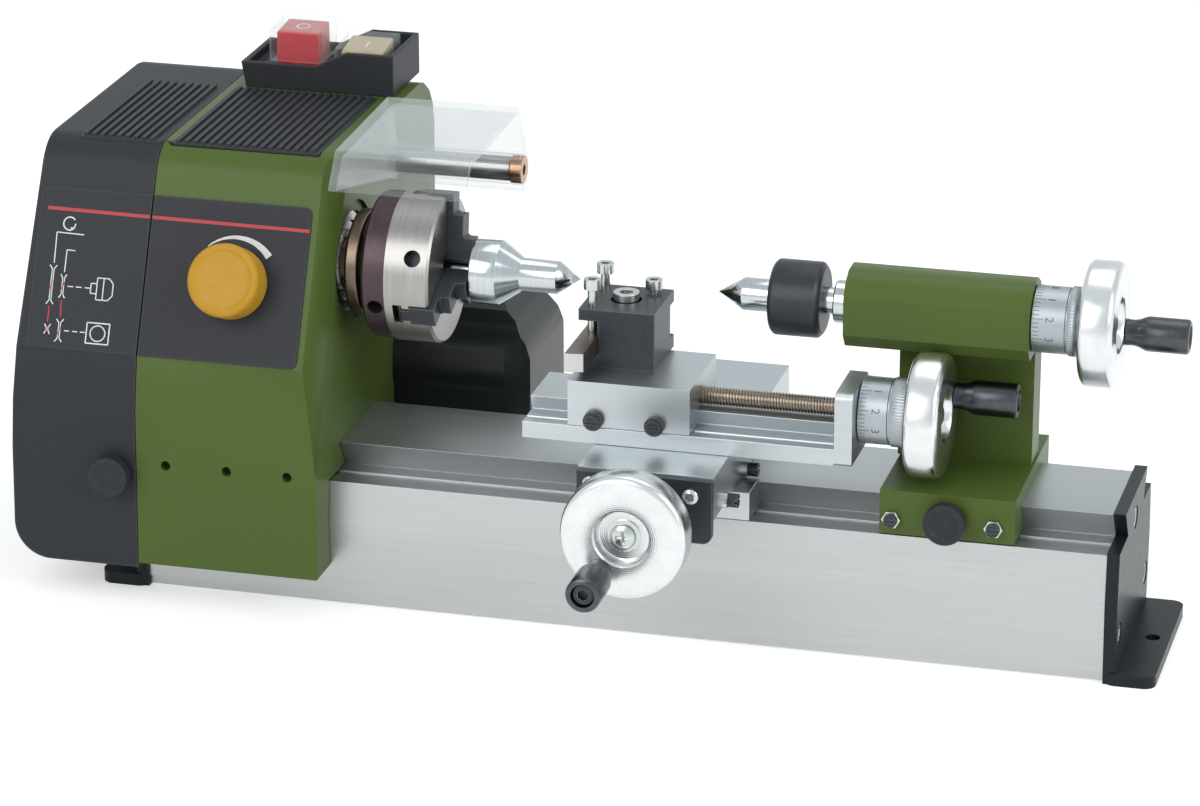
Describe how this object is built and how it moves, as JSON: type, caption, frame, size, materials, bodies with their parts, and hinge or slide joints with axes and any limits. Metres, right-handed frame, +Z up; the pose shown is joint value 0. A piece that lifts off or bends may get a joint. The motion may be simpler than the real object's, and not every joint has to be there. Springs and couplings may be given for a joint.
{
  "type": "bench lathe",
  "caption": "Bench-top metalworking lathe with a belt-driven headstock, scroll chuck under a clear guard, compound slide with hand wheels, and tailstock with a live centre",
  "frame": {"origin": "on the bench, midway between the two bench bolts, under the spindle axis", "axes": "+X along the bed towards the tailstock, +Y to the rear, +Z up"},
  "size_m": [0.3691, 0.1961, 0.1645],
  "materials": {
    "bed_metal": "fine machined, satin",
    "milled_metal": "milled, satin",
    "turned_metal": "turned, bright",
    "bright_steel": "turned and ground",
    "black_steel": "black oxide",
    "scroll_steel": "dark brown oxide",
    "zinc_steel": "zinc plated",
    "bronze_steel": "threaded, oiled",
    "green_paint": "olive green, satin enamel",
    "dark_paint": "dark teal, satin enamel",
    "motor_paint": "black, satin enamel",
    "black_plastic": "fine grained",
    "knob_yellow": "ochre yellow, satin",
    "button_red": "red, glossy",
    "button_beige": "beige, glossy",
    "clear_plastic": "clear acrylic",
    "belt_rubber": "matt",
    "grip_metal": "gunmetal, turned"
  },
  "bodies": {
    "base": {"bed": "bed_metal", "left_end_plate": "dark_paint", "right_end_plate": "dark_paint", "end_plate_screws": "zinc_steel", "headstock_housing": "green_paint", "vent_panel": "black_plastic", "control_panel": "black_plastic", "switch_box": "black_plastic", "motor_housing": "motor_paint", "motor_stator": "bright_steel", "spindle_bearings": "bright_steel", "drive_belt": "belt_rubber", "guard_rod": "bright_steel"},
    "cover": {"belt_cover": "black_plastic"},
    "cover_knob": {"cover_knob": "black_plastic"},
    "spindle": {"spindle": "bright_steel", "spindle_pulley": "turned_metal", "chuck_body": "bright_steel", "dead_centre": "bright_steel"},
    "scroll": {"chuck_scroll": "scroll_steel"},
    "jaw_1": {"chuck_jaw_1": "black_steel"},
    "jaw_2": {"chuck_jaw_2": "black_steel"},
    "jaw_3": {"chuck_jaw_3": "black_steel"},
    "rotor": {"motor_shaft": "bright_steel", "motor_pulley": "turned_metal"},
    "speed_knob": {"speed_knob": "knob_yellow"},
    "off_button": {"off_button": "button_red", "off_button_cap": "clear_plastic"},
    "on_button": {"on_button": "button_beige", "on_button_cap": "clear_plastic"},
    "guard": {"guard": "clear_plastic"},
    "tailstock": {"tailstock_body": "green_paint", "tailstock_gib_screws": "zinc_steel"},
    "clamp_knob": {"tailstock_clamp_knob": "black_plastic"},
    "quill": {"quill": "bright_steel", "live_centre_housing": "black_steel"},
    "live_centre": {"live_centre_point": "bright_steel"},
    "tail_wheel": {"tailstock_feed_screw": "bronze_steel", "tailstock_handwheel": "turned_metal"},
    "tail_dial": {"tailstock_dial": "turned_metal"},
    "tail_grip": {"tailstock_handle": "grip_metal"},
    "saddle": {"saddle": "milled_metal"},
    "cross_slide": {"cross_slide": "milled_metal", "cross_slide_screws": "zinc_steel", "apron_plate": "black_steel", "top_slide_base": "milled_metal"},
    "cross_wheel": {"cross_feed_screw": "bronze_steel", "cross_handwheel": "turned_metal"},
    "cross_dial": {"cross_dial": "turned_metal"},
    "cross_grip": {"cross_handle": "grip_metal"},
    "top_slide": {"top_slide": "milled_metal", "top_gib_screws": "black_steel", "tool_post_bolt": "zinc_steel"},
    "top_wheel": {"top_feed_screw": "bronze_steel", "top_handwheel": "turned_metal"},
    "top_dial": {"top_dial": "turned_metal"},
    "top_grip": {"top_handle": "grip_metal"},
    "tool_post": {"tool_post": "black_steel", "tool_post_screws": "zinc_steel", "tool_bit": "bright_steel"}
  },
  "joints": [
    {"name": "cover_slide", "type": "slide", "parent": "base", "child": "cover", "axis": [-1, 0, 0], "range_m": [0, 0.045]},
    {"name": "cover_knob_turn", "type": "hinge", "parent": "cover", "child": "cover_knob", "pos_m": [-0.1617, -0.045, 0.0444], "axis": [0, -1, 0], "range_deg": [0, 360]},
    {"name": "spindle_turn", "type": "hinge", "parent": "base", "child": "spindle", "pos_m": [-0.1, 0, 0.10675], "axis": [1, 0, 0], "continuous": true},
    {"name": "scroll_turn", "type": "hinge", "parent": "spindle", "child": "scroll", "pos_m": [-0.08, 0, 0.10675], "axis": [1, 0, 0], "range_deg": [0, 1800]},
    {"name": "jaw_1_slide", "type": "slide", "parent": "spindle", "child": "jaw_1", "axis": [0, 0.1392, 0.9903], "range_m": [0, 0.0125]},
    {"name": "jaw_2_slide", "type": "slide", "parent": "spindle", "child": "jaw_2", "axis": [0, -0.9272, -0.3746], "range_m": [0, 0.0125]},
    {"name": "jaw_3_slide", "type": "slide", "parent": "spindle", "child": "jaw_3", "axis": [0, 0.788, -0.6157], "range_m": [0, 0.0125]},
    {"name": "rotor_turn", "type": "hinge", "parent": "base", "child": "rotor", "pos_m": [-0.1, 0.062, 0.058], "axis": [1, 0, 0], "continuous": true},
    {"name": "speed_knob_turn", "type": "hinge", "parent": "base", "child": "speed_knob", "pos_m": [-0.1247, -0.03034, 0.1062], "axis": [0, -0.915, 0.4035], "range_deg": [-135, 135]},
    {"name": "off_press", "type": "slide", "parent": "base", "child": "off_button", "axis": [0, 0, -1], "range_m": [0, 0.002], "stiffness_N_per_m": 400, "springref_m": -0.001},
    {"name": "on_press", "type": "slide", "parent": "base", "child": "on_button", "axis": [0, 0, -1], "range_m": [0, 0.002], "stiffness_N_per_m": 400, "springref_m": -0.001},
    {"name": "guard_swing", "type": "hinge", "parent": "base", "child": "guard", "pos_m": [-0.07, 0.0404, 0.1283], "axis": [-1, 0, 0], "range_deg": [0, 90]},
    {"name": "tailstock_slide", "type": "slide", "parent": "base", "child": "tailstock", "axis": [1, 0, 0], "range_m": [-0.013, 0.028]},
    {"name": "tailstock_clamp_turn", "type": "hinge", "parent": "tailstock", "child": "clamp_knob", "pos_m": [0.1057, -0.033, 0.0492], "axis": [0, -1, 0], "range_deg": [0, 180]},
    {"name": "tail_wheel_turn", "type": "hinge", "parent": "tailstock", "child": "tail_wheel", "pos_m": [0.142, 0, 0.10675], "axis": [1, 0, 0], "range_deg": [-6120, 0]},
    {"name": "quill_slide", "type": "slide", "parent": "tailstock", "child": "quill", "axis": [1, 0, 0], "range_m": [-0.017, 0]},
    {"name": "live_centre_turn", "type": "hinge", "parent": "quill", "child": "live_centre", "pos_m": [0.05, 0, 0.10675], "axis": [1, 0, 0], "continuous": true},
    {"name": "tail_dial_turn", "type": "hinge", "parent": "tail_wheel", "child": "tail_dial", "pos_m": [0.13, 0, 0.10675], "axis": [1, 0, 0], "continuous": true},
    {"name": "tail_grip_turn", "type": "hinge", "parent": "tail_wheel", "child": "tail_grip", "pos_m": [0.16, 0.011, 0.10085], "axis": [1, 0, 0], "continuous": true},
    {"name": "saddle_slide", "type": "slide", "parent": "base", "child": "saddle", "axis": [1, 0, 0], "range_m": [-0.007, 0.017]},
    {"name": "cross_wheel_turn", "type": "hinge", "parent": "cross_slide", "child": "cross_wheel", "pos_m": [0.0164, -0.075, 0.05515], "axis": [0, 1, 0], "range_deg": [-10800, 360]},
    {"name": "cross_slide_move", "type": "slide", "parent": "saddle", "child": "cross_slide", "axis": [0, 1, 0], "range_m": [-0.03, 0.001]},
    {"name": "cross_dial_turn", "type": "hinge", "parent": "cross_wheel", "child": "cross_dial", "pos_m": [0.0164, -0.066, 0.05515], "axis": [0, 1, 0], "continuous": true},
    {"name": "cross_grip_turn", "type": "hinge", "parent": "cross_wheel", "child": "cross_grip", "pos_m": [0.0095, -0.095, 0.04385], "axis": [0, 1, 0], "continuous": true},
    {"name": "top_wheel_turn", "type": "hinge", "parent": "cross_slide", "child": "top_wheel", "pos_m": [0.09, -0.021, 0.07965], "axis": [1, 0, 0], "range_deg": [-2520, 6120]},
    {"name": "top_slide_move", "type": "slide", "parent": "cross_slide", "child": "top_slide", "axis": [1, 0, 0], "range_m": [-0.007, 0.017]},
    {"name": "top_dial_turn", "type": "hinge", "parent": "top_wheel", "child": "top_dial", "pos_m": [0.085, -0.021, 0.07965], "axis": [1, 0, 0], "continuous": true},
    {"name": "top_grip_turn", "type": "hinge", "parent": "top_wheel", "child": "top_grip", "pos_m": [0.11, -0.0085, 0.08215], "axis": [1, 0, 0], "continuous": true},
    {"name": "tool_post_turn", "type": "hinge", "parent": "top_slide", "child": "tool_post", "pos_m": [-0.0015, -0.0107, 0.09], "axis": [0, 0, 1], "range_deg": [-90, 90]}
  ],
  "couplings": [
    {"joint": "jaw_1_slide", "follows": "scroll_turn", "m_per_rad": 0.00039789},
    {"joint": "jaw_2_slide", "follows": "scroll_turn", "m_per_rad": 0.00039789},
    {"joint": "jaw_3_slide", "follows": "scroll_turn", "m_per_rad": 0.00039789},
    {"joint": "rotor_turn", "follows": "spindle_turn", "ratio": 2},
    {"joint": "tail_wheel_turn", "follows": "quill_slide", "rad_per_m": 6283.2},
    {"joint": "cross_wheel_turn", "follows": "cross_slide_move", "rad_per_m": 6283.2},
    {"joint": "top_wheel_turn", "follows": "top_slide_move", "rad_per_m": 6283.2}
  ]
}
